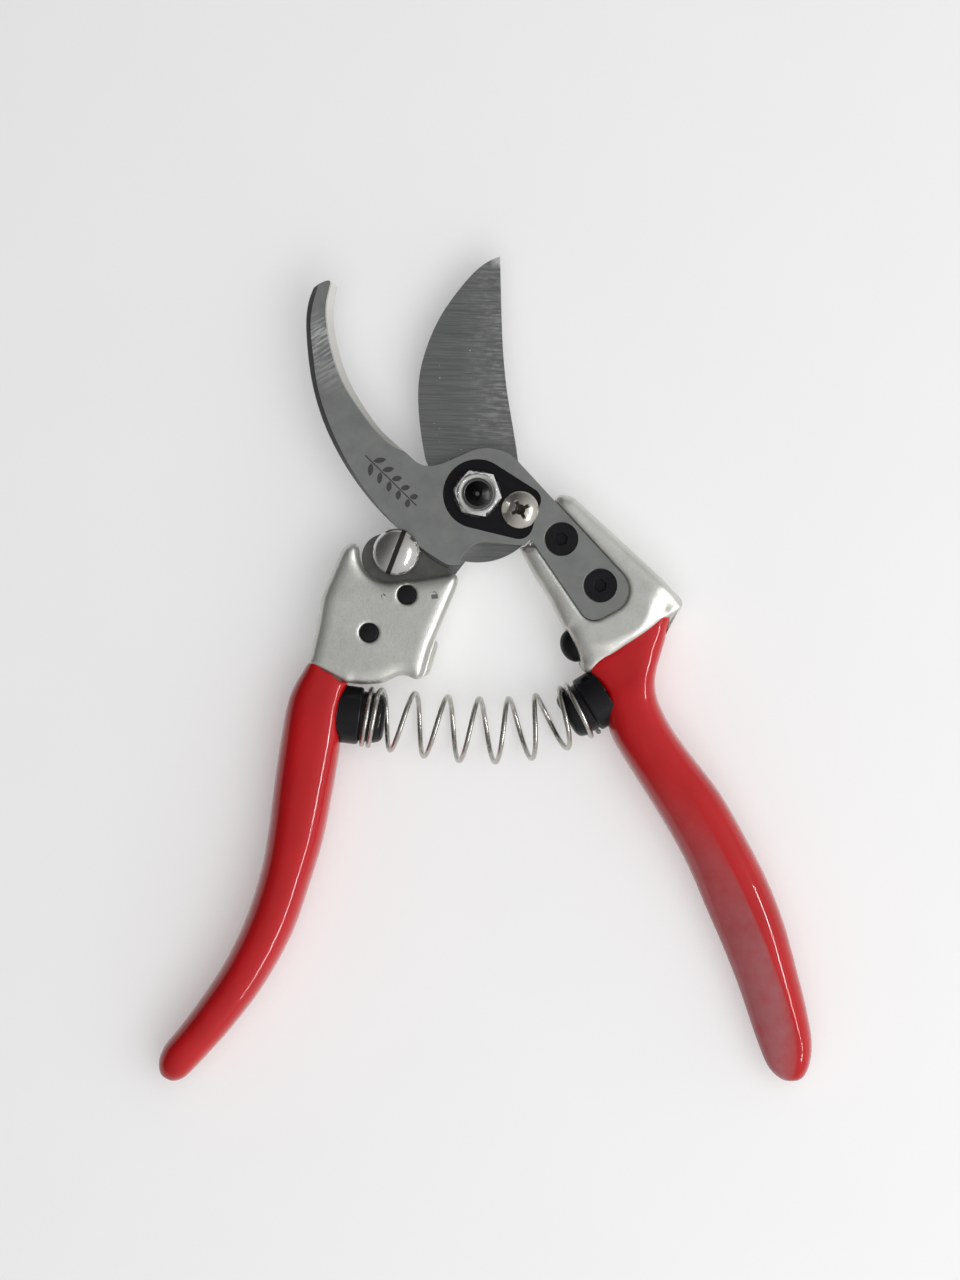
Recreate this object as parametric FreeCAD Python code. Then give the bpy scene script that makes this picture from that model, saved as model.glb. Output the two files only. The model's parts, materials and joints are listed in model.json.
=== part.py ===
"""Bypass pruning shears, 205 mm long, lying flat with the handles open.

The shears are two levers on one pivot bolt. The counter side carries the hooked counter blade, screwed into
a recess in a cast aluminium handle. The cutting side carries the wide cutting blade, whose tang is riveted
into a slot in the other cast handle, and a thumb catch that turns on a pin in that handle. Both handles
have dipped vinyl grips, and a coil spring between them is held on two plastic seats.

Frame: millimetres, +Z up. The pivot axis is the Z axis, and z = 0 is the plane that the bolt head and the
two grips rest on. +Y points to the jaws, and the counter handle is on the +X side.
"""

import FreeCAD
import Part
import math
import os

from FreeCAD import Vector

# ---- heights of the stack, from the resting plane up ----
HEAD_TOP = 2.0  # top of the bolt head
WASHER_TOP = 2.5  # top of the washer on the bolt head
LUG_TOP = 5.95  # top of the blade handle's pivot lug
BLADE_BOTTOM = 6.0
BLADE_TOP = 9.45
COUNTER_BOTTOM = 9.5
COUNTER_TOP = 14.0
LATCH_BOTTOM = 9.6
LATCH_TOP = 11.35
RELIEF_TOP = 11.9  # ceiling of the relief that the catch lever's nose moves in
SLOT_TOP = 12.0  # underside of the blade handle's front wall
BLADE_CASTING = (1.4, 15.5)  # underside and top of the blade handle's head
COUNTER_CASTING = (2.0, 15.0)  # underside and top of the counter handle's head
MIDDLE = 8.5  # the plane that the grips, the spring and the bumper are centred on

# ---- the pivot ----
SHANK_R = 4.0
THREAD_R = 3.3
BOLT_HEAD_R = 8.0
NUT_FLATS = 9.4
NUT_TOOTH_R = 5.3
NUT_TEETH = 24
NUT_TOP = 18.0
NUT_FACE_R = 4.3  # flat ring on top of the nut, inside its chamfer
NUT_CHAMFER = 1.2  # height of the chamfer at the nut's corners
PLATE_BOTTOM = 12.4  # floor of the teardrop recess that the lock plate lies in
PLATE_TOP = 13.7
BOLT_TOP = 17.4
RUNNING = 0.05  # radial clearance of a shaft in its hole
SEATED = 0.03  # radial clearance of a fixed pin in its hole

ENGRAVED = 0.15

# ---- the blades ----
PIVOT_DISC_R = 15.0  # round of the cutting blade about the pivot
LUG_R = 11.2  # round of the blade handle's lug, which the counter blade hides from above
TANG_ANGLE = math.radians(-128)  # direction of the tang from the pivot
TANG_HALF = 7.0
TANG_END = 38.7  # pivot to the lower rivet
BLADE_GRIND = (
    ((6.2, 53.8), (6.0, 51.0)), ((1.2, 50.4), (4.0, 46.0)), ((-3.9, 45.3), (0.8, 40.6)),
    ((-7.7, 40.0), (-1.9, 36.4)), ((-10.3, 34.8), (-3.9, 32.2)), ((-12.1, 29.5), (-5.4, 27.8)),
    ((-13.0, 24.2), (-6.2, 23.5)), ((-13.0, 18.9), (-6.6, 19.3)), ((-12.4, 13.0), (-7.6, 14.2)),
    ((-11.3, 8.0), (-9.3, 8.8)), ((-10.4, 4.0), (-10.2, 4.1)),
)
LOCK_SCREW = (9.35, -3.5)
LOCK_SCREW_HEAD_R = 4.1
LOCK_SCREW_RIM = 0.3  # height of the straight rim under the dome
LOCK_SCREW_FACE_R = 3.2  # the head's underside, which bears on the lock plate inside the recess
COUNTER_SCREWS = ((18.35, -9.9), (26.9, -20.1))
COUNTERSINK_R = 3.8
SINK_BOTTOM = 12.0
SOCKET_FLATS = 2.6
SCREW_R = 2.0
SCREW_TIP = 4.0
LOCK_SCREW_R = 1.7
PLATE_ROUNDS = ((0.0, 0.0, 7.55), (11.3, -1.35, 2.6), (9.1, -6.9, 3.0))
HOOK_INSIDE = (
    ((-30.4, 47.5), (-32.3, 47.6)), ((-30.9, 45.0), (-32.6, 45.0)), ((-31.6, 41.4), (-33.3, 41.4)),
    ((-31.6, 37.6), (-33.2, 37.2)), ((-30.4, 31.0), (-31.9, 30.4)), ((-28.0, 24.4), (-29.3, 23.7)),
    ((-24.8, 18.9), (-25.8, 18.2)), ((-20.8, 13.6), (-21.5, 12.8)), ((-17.4, 10.5), (-17.8, 10.0)),
    ((-13.4, 7.2), (-13.5, 7.1)),
)
HOOK_OUTSIDE = (
    ((-35.6, 47.0), (-34.8, 46.6)), ((-36.5, 43.9), (-35.6, 43.7)), ((-37.4, 40.6), (-36.4, 40.3)),
    ((-37.5, 34.0), (-36.5, 34.0)), ((-36.6, 26.0), (-35.6, 26.2)), ((-34.0, 16.3), (-33.1, 16.8)),
    ((-30.3, 8.4), (-29.6, 8.9)), ((-25.0, 0.4), (-24.6, 0.8)), ((-18.6, -6.6), (-18.5, -6.5)),
)

# ---- the thumb catch ----
LATCH_PIN = (-15.5, -22.2)
KNOB = (-17.85, -12.8)
KNOB_R = 5.1
KNOB_STEM_R = 1.5
KNOB_BOTTOM = 14.2
KNOB_TOP = 17.6
KNOB_RIM = 0.9  # height of the straight rim under the dome
KNOB_SLOT = 1.0
KNOB_TURN = 69.0
NOSE_LEFT = (-16.27, -8.43)
NOSE_RIGHT = (-13.6, -10.75)
RELIEF_R = 12.5
RELIEF_ANGLES = (-166.0, -118.0)
PIN_R = 2.1
PIN_LEAD = 0.25  # chamfer at the mouths of the pin holes
RIVET = (TANG_END * math.cos(TANG_ANGLE), TANG_END * math.sin(TANG_ANGLE))

# ---- the grips, as (left edge, right edge, height) from the dip line to the round end ----
VINYL = 1.2
TANG_LEAD = 4.0  # how far a tang reaches back into its head
TANG_SHORT = 5  # stations left out at the round end, where the grip is solid vinyl
BLADE_GRIP = (
    ((-37.5, -37.2), (-28.5, -41.6), 13.4),
    ((-41.4, -44.4), (-29.3, -46.6), 14.6),
    ((-43.3, -53.8), (-30.3, -56.1), 16.2),
    ((-44.9, -64.4), (-32.1, -66.6), 16.96),
    ((-46.0, -73.4), (-34.0, -76.1), 16.96),
    ((-47.6, -82.4), (-36.9, -85.7), 16.96),
    ((-50.8, -92.6), (-40.8, -96.8), 16.6),
    ((-55.4, -102.5), (-47.0, -108.0), 15.4),
    ((-60.7, -110.7), (-53.6, -116.8), 14.0),
    ((-65.6, -117.3), (-58.9, -122.8), 12.6),
    ((-69.2, -121.8), (-62.3, -126.4), 11.0),
    ((-70.4, -125.4), (-64.9, -128.8), 8.2),
    ((-69.9, -128.1), (-67.4, -129.5), 4.0),
)
COUNTER_GRIP = (
    ((24.5, -39.6), (45.0, -25.2), 13.0),
    ((26.4, -44.9), (40.4, -35.4), 14.6),
    ((28.3, -50.2), (39.2, -43.1), 15.8),
    ((30.5, -55.2), (42.0, -50.2), 16.6),
    ((35.6, -63.4), (46.7, -57.0), 16.96),
    ((41.4, -72.7), (53.3, -65.6), 16.96),
    ((46.4, -81.8), (58.8, -75.1), 16.96),
    ((50.3, -90.9), (63.8, -84.8), 16.8),
    ((54.1, -99.6), (67.6, -94.5), 16.4),
    ((57.6, -108.5), (70.3, -104.3), 15.6),
    ((60.6, -117.4), (72.7, -114.0), 14.4),
    ((62.6, -122.9), (73.8, -121.0), 12.4),
    ((64.3, -126.5), (73.3, -125.6), 9.8),
    ((66.4, -128.6), (72.2, -128.2), 7.0),
    ((68.3, -129.5), (70.8, -129.4), 3.6),
)

# ---- the spring and its seats ----
WIRE_R = 0.55
BLADE_SEAT = ((-29.4, -48.4), math.radians(-7.5))  # centre of its base and the way it points
COUNTER_SEAT = ((27.3, -44.6), math.radians(-148))
SEAT_R = 6.35
SEAT_FLOOR = -1.4  # a seat's back face, which lies against the casting through the vinyl
NECK_R = 5.5
SPIGOT_R = 2.2
SPIGOT_END = -5.5
SPRING_START = 4.6  # from a seat's base to the middle of the spring's end turn
SPRING_TURNS = 9.0
SPRING_COIL_R = (6.2, 7.0)  # at the seats and halfway between them
BUMPER = ((21.3, -33.3), math.radians(-157))
BUMPER_R = 3.75
BUMPER_HEIGHT = 3.0


# ---- helpers ----
def edge(points, z):
    """Two points make a straight edge, three an arc, and more a smooth curve."""
    p = [Vector(x, y, z) for x, y in points]
    if len(p) == 2:
        return Part.LineSegment(*p).toShape()
    if len(p) == 3:
        return Part.Arc(*p).toShape()
    curve = Part.BSplineCurve()
    curve.interpolate(p)
    return curve.toShape()


def plate(z0, z1, *runs):
    """A flat plate whose outline is the given runs of points, end to end."""
    wire = Part.Wire([edge(r, z0) for r in runs])
    return Part.Face(wire).extrude(Vector(0, 0, z1 - z0))


def rounded_runs(corners):
    """Straight and arc runs through (x, y, radius) corners, closed."""
    runs, arcs = [], []
    n = len(corners)
    for i, (x, y, r) in enumerate(corners):
        here = Vector(x, y, 0)
        to_last = (Vector(*corners[i - 1][:2], 0) - here).normalize()
        to_next = (Vector(*corners[(i + 1) % n][:2], 0) - here).normalize()
        half = to_last.getAngle(to_next) / 2
        reach = r / math.tan(half)
        centre = here + (to_last + to_next).normalize() * (r / math.sin(half))
        a, b = here + to_last * reach, here + to_next * reach
        middle = centre + (here - centre).normalize() * r
        arcs.append([(p.x, p.y) for p in (a, middle, b)])
    for i, arc in enumerate(arcs):
        runs.append(arc)
        runs.append([arc[-1], arcs[(i + 1) % n][0]])
    return runs


def rounded_plate(z0, z1, corners):
    return plate(z0, z1, *rounded_runs(corners))


def disc(place, r, z0, z1):
    return Part.makeCylinder(r, z1 - z0, Vector(place[0], place[1], z0))


def cone(place, r0, r1, z0, z1):
    return Part.makeCone(r0, r1, z1 - z0, Vector(place[0], place[1], z0))


def domed(place, r, z0, z1, rim):
    """A round head with a straight rim and a domed top."""
    cap = z1 - z0 - rim
    ball_r = (r**2 + cap**2) / (2 * cap)
    return disc(place, r, z0, z1).common(Part.makeSphere(ball_r, Vector(*place, z1 - ball_r)))


def hexagon(place, flats, z0, z1, turn=0.0):
    """A hexagonal prism, its size measured across the flats."""
    corner = flats / math.sqrt(3)
    angles = [turn + i * math.pi / 3 for i in range(6)]
    points = [(place[0] + corner * math.cos(a), place[1] + corner * math.sin(a)) for a in angles]
    return plate(z0, z1, *[[points[i], points[(i + 1) % 6]] for i in range(6)])


def edges_at(shape, z):
    """The edges of a shape that lie in the plane at height z."""
    return [e for e in shape.Edges if abs(e.BoundBox.ZMin - z) < 1e-4 and abs(e.BoundBox.ZMax - z) < 1e-4]


def turned(profile, place, direction):
    """A solid of revolution. The profile is (distance along the axis, radius), from the base out."""
    points = [Vector(r, 0, d) for d, r in profile]
    wire = Part.makePolygon([Vector(0, 0, profile[0][0]), *points, Vector(0, 0, profile[-1][0]),
                             Vector(0, 0, profile[0][0])])
    solid = Part.Face(wire).revolve(Vector(0, 0, 0), Vector(0, 0, 1), 360)
    axis = Vector(math.cos(direction), math.sin(direction), 0)
    solid.Placement = FreeCAD.Placement(
        Vector(place[0], place[1], MIDDLE), FreeCAD.Rotation(Vector(0, 0, 1), axis)
    )
    return solid


def bevel(stations, z_edge, z_face):
    """The wedge that a bevel removes, through (point on the edge, point where the bevel ends) stations."""
    wires = []
    for outer, inner in stations:
        foot, lip = Vector(*inner, z_face), Vector(*outer, z_edge)
        start, end = foot + (foot - lip) * 0.05, lip + (lip - foot) * 0.3
        corner = Vector(end.x, end.y, start.z)
        wires.append(Part.makePolygon([start, end, corner, start]))
    return Part.makeLoft(wires, True, False)


def section(station, index, inset=0.0, count=20):
    """A closed section that stands on the line from left to right, centred on MIDDLE.

    It is a superellipse, squarer near the dip line, where it meets the casting, than further down.
    """
    left, right, height = station
    roundness = 2.5 + 2.5 / (1 + index) ** 1.5
    a, b = Vector(*left, 0), Vector(*right, 0)
    across = (b - a) * 0.5
    half_width, half_height = across.Length - inset, height / 2 - inset
    across.normalize()
    centre = (a + b) * 0.5 + Vector(0, 0, MIDDLE)
    points = []
    for i in range(count):
        c, s = math.cos(2 * math.pi * i / count), math.sin(2 * math.pi * i / count)
        x = math.copysign(abs(c) ** (2 / roundness), c) * half_width
        z = math.copysign(abs(s) ** (2 / roundness), s) * half_height
        points.append(centre + across * x + Vector(0, 0, z))
    curve = Part.BSplineCurve()
    curve.interpolate(points, PeriodicFlag=True)
    return Part.Wire(curve.toShape())


def on_circle(r, degrees):
    """A point on a circle about the pivot."""
    return (r * math.cos(math.radians(degrees)), r * math.sin(math.radians(degrees)))


def tang_runs(disc_r, half, end):
    """Runs for a disc about the pivot that carries a round-ended tang: the tang's two sides and its end,
    from the disc's right to its left. The disc's own arc is left to the caller."""
    u = Vector(math.cos(TANG_ANGLE), math.sin(TANG_ANGLE), 0)
    n = Vector(-u.y, u.x, 0)
    root = math.sqrt(disc_r**2 - half**2)
    right, left = u * root + n * half, u * root - n * half
    end_right, tip, end_left = u * end + n * half, u * (end + half), u * end - n * half
    points = [(p.x, p.y) for p in (right, end_right, tip, end_left, left)]
    return [points[0:2], points[1:4], points[3:5]]


def tang_and_disc(disc_r, half, end):
    """The closed outline of a disc about the pivot that carries a round-ended tang."""
    sides = tang_runs(disc_r, half, end)
    return [*sides, [sides[2][-1], on_circle(disc_r, 45), sides[0][0]]]


# ---- the cutting side ----
def cutting_blade():
    tang_right, tang_end, tang_left = tang_runs(PIVOT_DISC_R, TANG_HALF, TANG_END)
    tip, heel, back = (4.95, 52.4), (-10.9, 5.0), (9.1, 5.9)
    disc_low, disc_right = on_circle(PIVOT_DISC_R, -50), on_circle(PIVOT_DISC_R, -4)
    body = plate(
        BLADE_BOTTOM, BLADE_TOP,
        [tip, (1.0, 50.4), (-3.9, 45.3), (-7.7, 40.0), (-10.3, 34.8), (-12.1, 29.5), (-13.0, 24.2),
         (-13.0, 18.9), (-12.4, 13.0), heel],
        [heel, tang_left[-1]], tang_left[::-1], tang_end[::-1], tang_right[::-1],
        [tang_right[0], disc_low, disc_right],
        [disc_right, back],
        [back, (8.0, 13.6), (6.6, 22.0), (5.6, 32.1), (5.2, 42.7), tip],
    )
    body = body.cut(bevel(BLADE_GRIND, BLADE_TOP - 0.4, BLADE_BOTTOM))
    return body.cut([disc((0, 0), SHANK_R + RUNNING, 0, COUNTER_TOP),
                     *(disc(place, PIN_R + SEATED, 0, COUNTER_TOP) for place in (LATCH_PIN, RIVET))])


def blade_handle():
    low, high = BLADE_CASTING
    head = rounded_plate(low, high, [
        (-26.3, -10.6, 1.35), (-25.9, -14.0, 6.0), (-24.2, -19.6, 6.5), (-14.0, -19.0, 14.0),
        (-3.6, -17.1, 1.4), (-4.8, -21.0, 3.0), (-10.3, -34.0, 4.0), (-12.4, -41.6, 1.6), (-16.3, -39.4, 3.5),
        (-20.8, -41.6, 4.0), (-25.2, -41.9, 3.0), (-28.6, -41.5, 0.4), (-37.2, -37.2, 1.0),
        (-35.3, -29.0, 9.0), (-34.2, -22.4, 9.0), (-29.4, -11.2, 3.0),
    ])
    head = head.makeFillet(1.3, edges_at(head, high) + edges_at(head, low))
    lug = plate(WASHER_TOP + 0.02, LUG_TOP, *tang_and_disc(LUG_R, TANG_HALF - 0.3, TANG_END - 6))
    stop = rounded_plate(4.0, 12.6, [(-9.8, -31.6, 0.6), (-8.5, -33.0, 0.8), (-10.6, -39.6, 1.2),
                                     (-13.0, -40.6, 1.0), (-14.4, -36.0, 1.0)])
    casting = head.fuse([lug, stop, handle_core(BLADE_GRIP)])
    tang_slot = plate(LUG_TOP, LATCH_BOTTOM, *tang_and_disc(PIVOT_DISC_R + 0.1, TANG_HALF + 0.1, TANG_END))
    lever_space = rounded_plate(BLADE_TOP + 0.05, SLOT_TOP, [
        (-26.1, -6.0, 1.0), (-26.1, -17.0, 5.0), (-21.0, -27.8, 4.0), (-9.0, -27.8, 4.0), (0.0, -20.0, 1.0),
        (0.0, -6.0, 1.0)])
    casting = casting.cut([tang_slot, lever_space, disc((0, 0), SHANK_R + RUNNING, 0, BLADE_TOP)])
    for place in (LATCH_PIN, RIVET):
        casting = casting.cut([disc(place, PIN_R + SEATED, 0, high),
                               cone(place, PIN_R, PIN_R + PIN_LEAD, high - PIN_LEAD, high),
                               cone(place, PIN_R + PIN_LEAD, PIN_R, low, low + PIN_LEAD)])
    return drilled_for_seat(casting, BLADE_SEAT)


def pin(place, low, high):
    """A plain headless pin with broken edges."""
    body = disc(place, PIN_R, low, high)
    return body.makeChamfer(0.3, edges_at(body, low) + edges_at(body, high))


def latch_pin():
    return pin(LATCH_PIN, BLADE_CASTING[0] + 0.4, BLADE_CASTING[1] - 0.3)


def blade_rivet():
    return pin(RIVET, BLADE_CASTING[0] + 0.4, BLADE_CASTING[1] - 0.3)


def latch_spring_washer():
    """A dished washer that presses the catch lever down, so that it stays where it is put."""
    inner, outer, gauge = PIN_R + 0.1, 3.1, 0.25
    profile = [(inner, LATCH_TOP + 0.05), (outer, SLOT_TOP - 0.05 - gauge), (outer, SLOT_TOP - 0.05),
               (inner, LATCH_TOP + 0.05 + gauge), (inner, LATCH_TOP + 0.05)]
    wire = Part.makePolygon([Vector(r, 0, z) for r, z in profile])
    return Part.Face(wire).revolve(Vector(0, 0, 0), Vector(0, 0, 1), 360).translated(Vector(*LATCH_PIN, 0))


# ---- the thumb catch ----
def latch_lever():
    """A hub on the pin, an arm round the knob, a wing to the right and a nose that locks the counter blade.

    Both arcs of its upper side clear the counter blade: one with the catch open, one with it thrown.
    """
    start, end = NOSE_LEFT, NOSE_RIGHT
    body = plate(
        LATCH_BOTTOM, LATCH_TOP,
        [(-21.2, -8.8), (-19.5, -9.3), (-17.73, -10.21)],
        [(-17.73, -10.21), start],
        [start, end],
        [end, (-12.0, -12.6), (-6.4, -16.2)],
        [(-6.4, -16.2), (-6.0, -18.0), (-7.6, -20.2)],
        [(-7.6, -20.2), (LATCH_PIN[0] + 4.2, LATCH_PIN[1] - 2.0)],
        [(LATCH_PIN[0] + 4.2, LATCH_PIN[1] - 2.0), (LATCH_PIN[0], LATCH_PIN[1] - 4.65),
         (LATCH_PIN[0] - 4.3, LATCH_PIN[1] - 1.8)],
        [(LATCH_PIN[0] - 4.3, LATCH_PIN[1] - 1.8), (-22.6, -18.6)],
        [(-22.6, -18.6), (-25.3, -12.6), (-21.2, -8.8)],
    )
    return body.cut([disc(LATCH_PIN, PIN_R + RUNNING, 0, COUNTER_TOP),
                     disc(KNOB, KNOB_STEM_R + SEATED, 0, COUNTER_TOP)])


def thumb_knob():
    dome = domed(KNOB, KNOB_R, KNOB_BOTTOM, KNOB_TOP, KNOB_RIM)
    dome = dome.makeFillet(0.3, edges_at(dome, KNOB_BOTTOM))
    slot = Part.makeBox(2 * KNOB_R + 2, KNOB_SLOT, 2, Vector(-KNOB_R - 1, -KNOB_SLOT / 2, KNOB_TOP - 1.5))
    slot.rotate(Vector(0, 0, 0), Vector(0, 0, 1), KNOB_TURN)
    slot.translate(Vector(*KNOB, 0))
    return dome.fuse(disc(KNOB, KNOB_STEM_R, LATCH_BOTTOM, KNOB_BOTTOM + 0.5)).cut(slot)


# ---- the counter side ----
def counter_blade():
    hook = plate(
        COUNTER_BOTTOM, COUNTER_TOP,
        [(-36.0, 45.2), (-37.4, 40.6), (-37.5, 34.0), (-36.6, 26.0), (-34.0, 16.3), (-30.3, 8.4), (-25.0, 0.4),
         (-18.6, -6.6), (-13.1, -11.3), (-7.4, -15.1)],
        [(-7.4, -15.1), (-5.6, -15.7), (-3.9, -15.3)],
        [(-3.9, -15.3), (-3.0, -13.0), (-0.9, -11.2), (2.4, -10.7)],
        [(2.4, -10.7), (10.4, -11.3)],
        [(10.4, -11.3), (18.0, -2.7)],
        [(18.0, -2.7), (9.2, 6.8)],
        [(9.2, 6.8), (7.2, 8.6), (4.0, 9.8), (0.4, 9.9), (-2.5, 8.9), (-6.5, 7.1), (-10.7, 6.1), (-12.6, 6.5),
         (-14.9, 8.3), (-20.8, 13.6), (-24.8, 18.9), (-28.0, 24.4), (-30.4, 31.0), (-31.6, 37.6),
         (-31.6, 41.4), (-30.9, 45.6)],
        [(-30.9, 45.6), (-32.7, 46.9)],
        [(-32.7, 46.9), (-34.6, 46.2), (-36.0, 45.2)],
    )
    body = hook.fuse(counter_tail(COUNTER_BOTTOM, COUNTER_TOP)).removeSplitter()
    body = body.cut([bevel(HOOK_INSIDE, COUNTER_TOP - 1.6, COUNTER_TOP),
                     bevel(HOOK_OUTSIDE, COUNTER_TOP - 0.8, COUNTER_TOP)])
    body = body.cut([nose_relief(), lock_plate_outline(0.06, PLATE_BOTTOM, COUNTER_TOP),
                     disc((0, 0), SHANK_R + SEATED, 0, COUNTER_TOP),
                     disc(LOCK_SCREW, LOCK_SCREW_R + SEATED, 0, COUNTER_TOP)])
    for place in COUNTER_SCREWS:
        body = body.cut([disc(place, SCREW_R + SEATED, 0, COUNTER_TOP),
                         cone(place, SCREW_R + SEATED, COUNTERSINK_R, SINK_BOTTOM, COUNTER_TOP)])
    return body.cut([m.translated(Vector(0, 0, COUNTER_TOP - ENGRAVED)) for m in sprig()])


def counter_tail(z0, z1, gap=0.0):
    """The counter blade's tail, or with a gap the recess that it lies in."""
    corners = [(9.4, 6.6, 1.0), (36.1, -22.3, 5.0), (24.6, -28.7, 3.2), (12.2, -10.6, 0.6), (4.0, -4.0, 1.0)]
    wire = Part.Wire([edge(r, z0) for r in rounded_runs(corners)])
    if gap:
        wire = wire.makeOffset2D(gap)
    return Part.Face(wire).extrude(Vector(0, 0, z1 - z0))


def nose_relief():
    """The underside of the counter blade is cut away here, up to the tooth that the nose locks against."""
    start, end = RELIEF_ANGLES
    return plate(
        COUNTER_BOTTOM - 1, RELIEF_TOP,
        [on_circle(RELIEF_R, start), on_circle(RELIEF_R, (start + end) / 2), on_circle(RELIEF_R, end)],
        [on_circle(RELIEF_R, end), on_circle(26, end)],
        [on_circle(26, end), on_circle(26, (start + end) / 2), on_circle(26, start)],
        [on_circle(26, start), on_circle(RELIEF_R, start)],
    )


def counter_handle():
    low, high = COUNTER_CASTING
    head = rounded_plate(low, high, [
        (8.6, -10.6, 1.8), (18.4, 0.2, 1.6), (21.4, -0.9, 1.8), (41.0, -19.0, 30.0), (45.9, -24.4, 1.5),
        (23.6, -39.95, 1.4), (21.0, -34.3, 20.0), (15.9, -23.2, 8.0), (12.7, -18.4, 8.0),
    ])
    head = head.makeFillet(1.2, edges_at(head, low) + edges_at(head, high))
    head = head.cut([counter_tail(COUNTER_BOTTOM, high + 1, 0.25),
                     Part.makeBox(12.9, 20, high, Vector(0, -11.6, COUNTER_BOTTOM))])
    casting = head.fuse(handle_core(COUNTER_GRIP))
    casting = casting.cut([disc((0, 0), PIVOT_DISC_R + 0.6, 0, COUNTER_BOTTOM + 0.3),
                           *(disc(place, SCREW_R + SEATED, SCREW_TIP - 0.5, high) for place in COUNTER_SCREWS)])
    casting = casting.cut([bumper_notch(high), turned([(-5.1, 1.8 + SEATED), (0.5, 1.8 + SEATED)], *BUMPER)])
    return drilled_for_seat(casting, COUNTER_SEAT)


def bumper_notch(high):
    """The casting's edge is cut back from top to bottom where the bumper stands on it."""
    reach = BUMPER_R + 0.1
    notch = Part.makeBox(6, 2 * reach, high + 1, Vector(-0.02, -reach, 0))
    place, direction = BUMPER
    notch.rotate(Vector(0, 0, 0), Vector(0, 0, 1), math.degrees(direction))
    return notch.translated(Vector(*place, 0))


def counter_blade_screws():
    """Two countersunk screws with hexagon sockets."""
    screws = []
    for place in COUNTER_SCREWS:
        top = COUNTER_TOP - 0.15
        sunk = (SCREW_R, COUNTERSINK_R - 0.2, SINK_BOTTOM + 0.05, top)
        body = cone(place, *sunk).fuse(disc(place, SCREW_R, SCREW_TIP, SINK_BOTTOM + 0.1))
        screws.append(body.cut(hexagon(place, SOCKET_FLATS, top - 1.6, top + 1, math.radians(20))))
    return Part.makeCompound(screws)


def pivot_bolt():
    head = disc((0, 0), BOLT_HEAD_R, 0, HEAD_TOP)
    head = head.makeFillet(0.6, edges_at(head, 0))
    bolt = head.fuse([disc((0, 0), SHANK_R, HEAD_TOP - 0.1, PLATE_BOTTOM),
                      disc((0, 0), THREAD_R, PLATE_BOTTOM - 0.1, BOLT_TOP)])
    return bolt.cut(cone((0, 0), 0.5, THREAD_R - 0.5, BOLT_TOP - 3.6, BOLT_TOP)).removeSplitter()


def pivot_washer():
    return disc((0, 0), BOLT_HEAD_R - 0.5, HEAD_TOP, WASHER_TOP).cut(disc((0, 0), SHANK_R + RUNNING, 0, 9))


def toothed(r, z0, z1):
    """A round boss with fine teeth all round."""
    steps = range(2 * NUT_TEETH)
    points = [on_circle(r - 0.35 * (i % 2), 360 * i / len(steps)) for i in steps]
    return plate(z0, z1, *[[points[i - 1], points[i]] for i in steps])


def pivot_nut():
    """The teeth of its base sit in the teeth of the lock plate."""
    body = hexagon((0, 0), NUT_FLATS, PLATE_TOP + 0.1, NUT_TOP, math.radians(50))
    corner = NUT_FLATS / math.sqrt(3)
    body = body.common(cone((0, 0), corner, NUT_FACE_R, NUT_TOP - NUT_CHAMFER, NUT_TOP).fuse(
        disc((0, 0), corner, PLATE_TOP, NUT_TOP - NUT_CHAMFER)))
    body = body.fuse(toothed(NUT_TOOTH_R, PLATE_BOTTOM + 0.02, PLATE_TOP + 0.3))
    body = body.cut([disc((0, 0), THREAD_R + RUNNING, 0, NUT_TOP),
                     cone((0, 0), THREAD_R, THREAD_R + 0.6, NUT_TOP - 0.6, NUT_TOP)])
    return body.removeSplitter()


def lock_plate_outline(gap, z0, z1):
    """A teardrop: a large round about the nut, drawn out to two small rounds beyond the screw."""
    big, upper, lower = PLATE_ROUNDS
    rounds = [(x, y, r + gap) for x, y, r in (big, upper, lower)]
    hull = []
    for (xa, ya, ra), (xb, yb, rb) in zip(rounds, rounds[1:] + rounds[:1]):
        direction = math.atan2(yb - ya, xb - xa)
        side = direction + math.acos((ra - rb) / math.hypot(xb - xa, yb - ya))
        ends = ((xa, ya, ra), (xb, yb, rb))
        hull.append([(x + r * math.cos(side), y + r * math.sin(side)) for x, y, r in ends])
    runs = []
    for i, line in enumerate(hull):
        following = hull[(i + 1) % 3]
        x, y, r = rounds[(i + 1) % 3]
        a = math.atan2(line[1][1] - y, line[1][0] - x)
        b = math.atan2(following[0][1] - y, following[0][0] - x)
        middle = a - ((a - b) % (2 * math.pi)) / 2
        runs += [line, [line[1], (x + r * math.cos(middle), y + r * math.sin(middle)), following[0]]]
    return plate(z0, z1, *runs)


def nut_lock_plate():
    body = lock_plate_outline(0.0, PLATE_BOTTOM + 0.02, PLATE_TOP)
    return body.cut([toothed(NUT_TOOTH_R + 0.06, 0, NUT_TOP), disc(LOCK_SCREW, LOCK_SCREW_R + 0.1, 0, NUT_TOP)])


def lock_plate_screw():
    """A domed screw with a cross recess."""
    bottom, rim, top = PLATE_TOP + 0.02, COUNTER_TOP + 0.05, PLATE_TOP + 2.5
    head = domed(LOCK_SCREW, LOCK_SCREW_HEAD_R, rim, top, LOCK_SCREW_RIM)
    head = head.fuse(disc(LOCK_SCREW, LOCK_SCREW_FACE_R, bottom, rim + 0.1))
    arms = []
    for turn in (25, 115):
        arm = Part.makeBox(4.4, 0.8, 2.0, Vector(-2.2, -0.4, top - 1.4))
        arm.rotate(Vector(0, 0, 0), Vector(0, 0, 1), turn)
        arms.append(arm.translated(Vector(*LOCK_SCREW, 0)))
    shank = disc(LOCK_SCREW, LOCK_SCREW_R, COUNTER_BOTTOM + 0.4, bottom + 0.2)
    return head.fuse(shank).cut([*arms, cone(LOCK_SCREW, 0.5, 1.3, top - 1.8, top + 0.2)])


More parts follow.
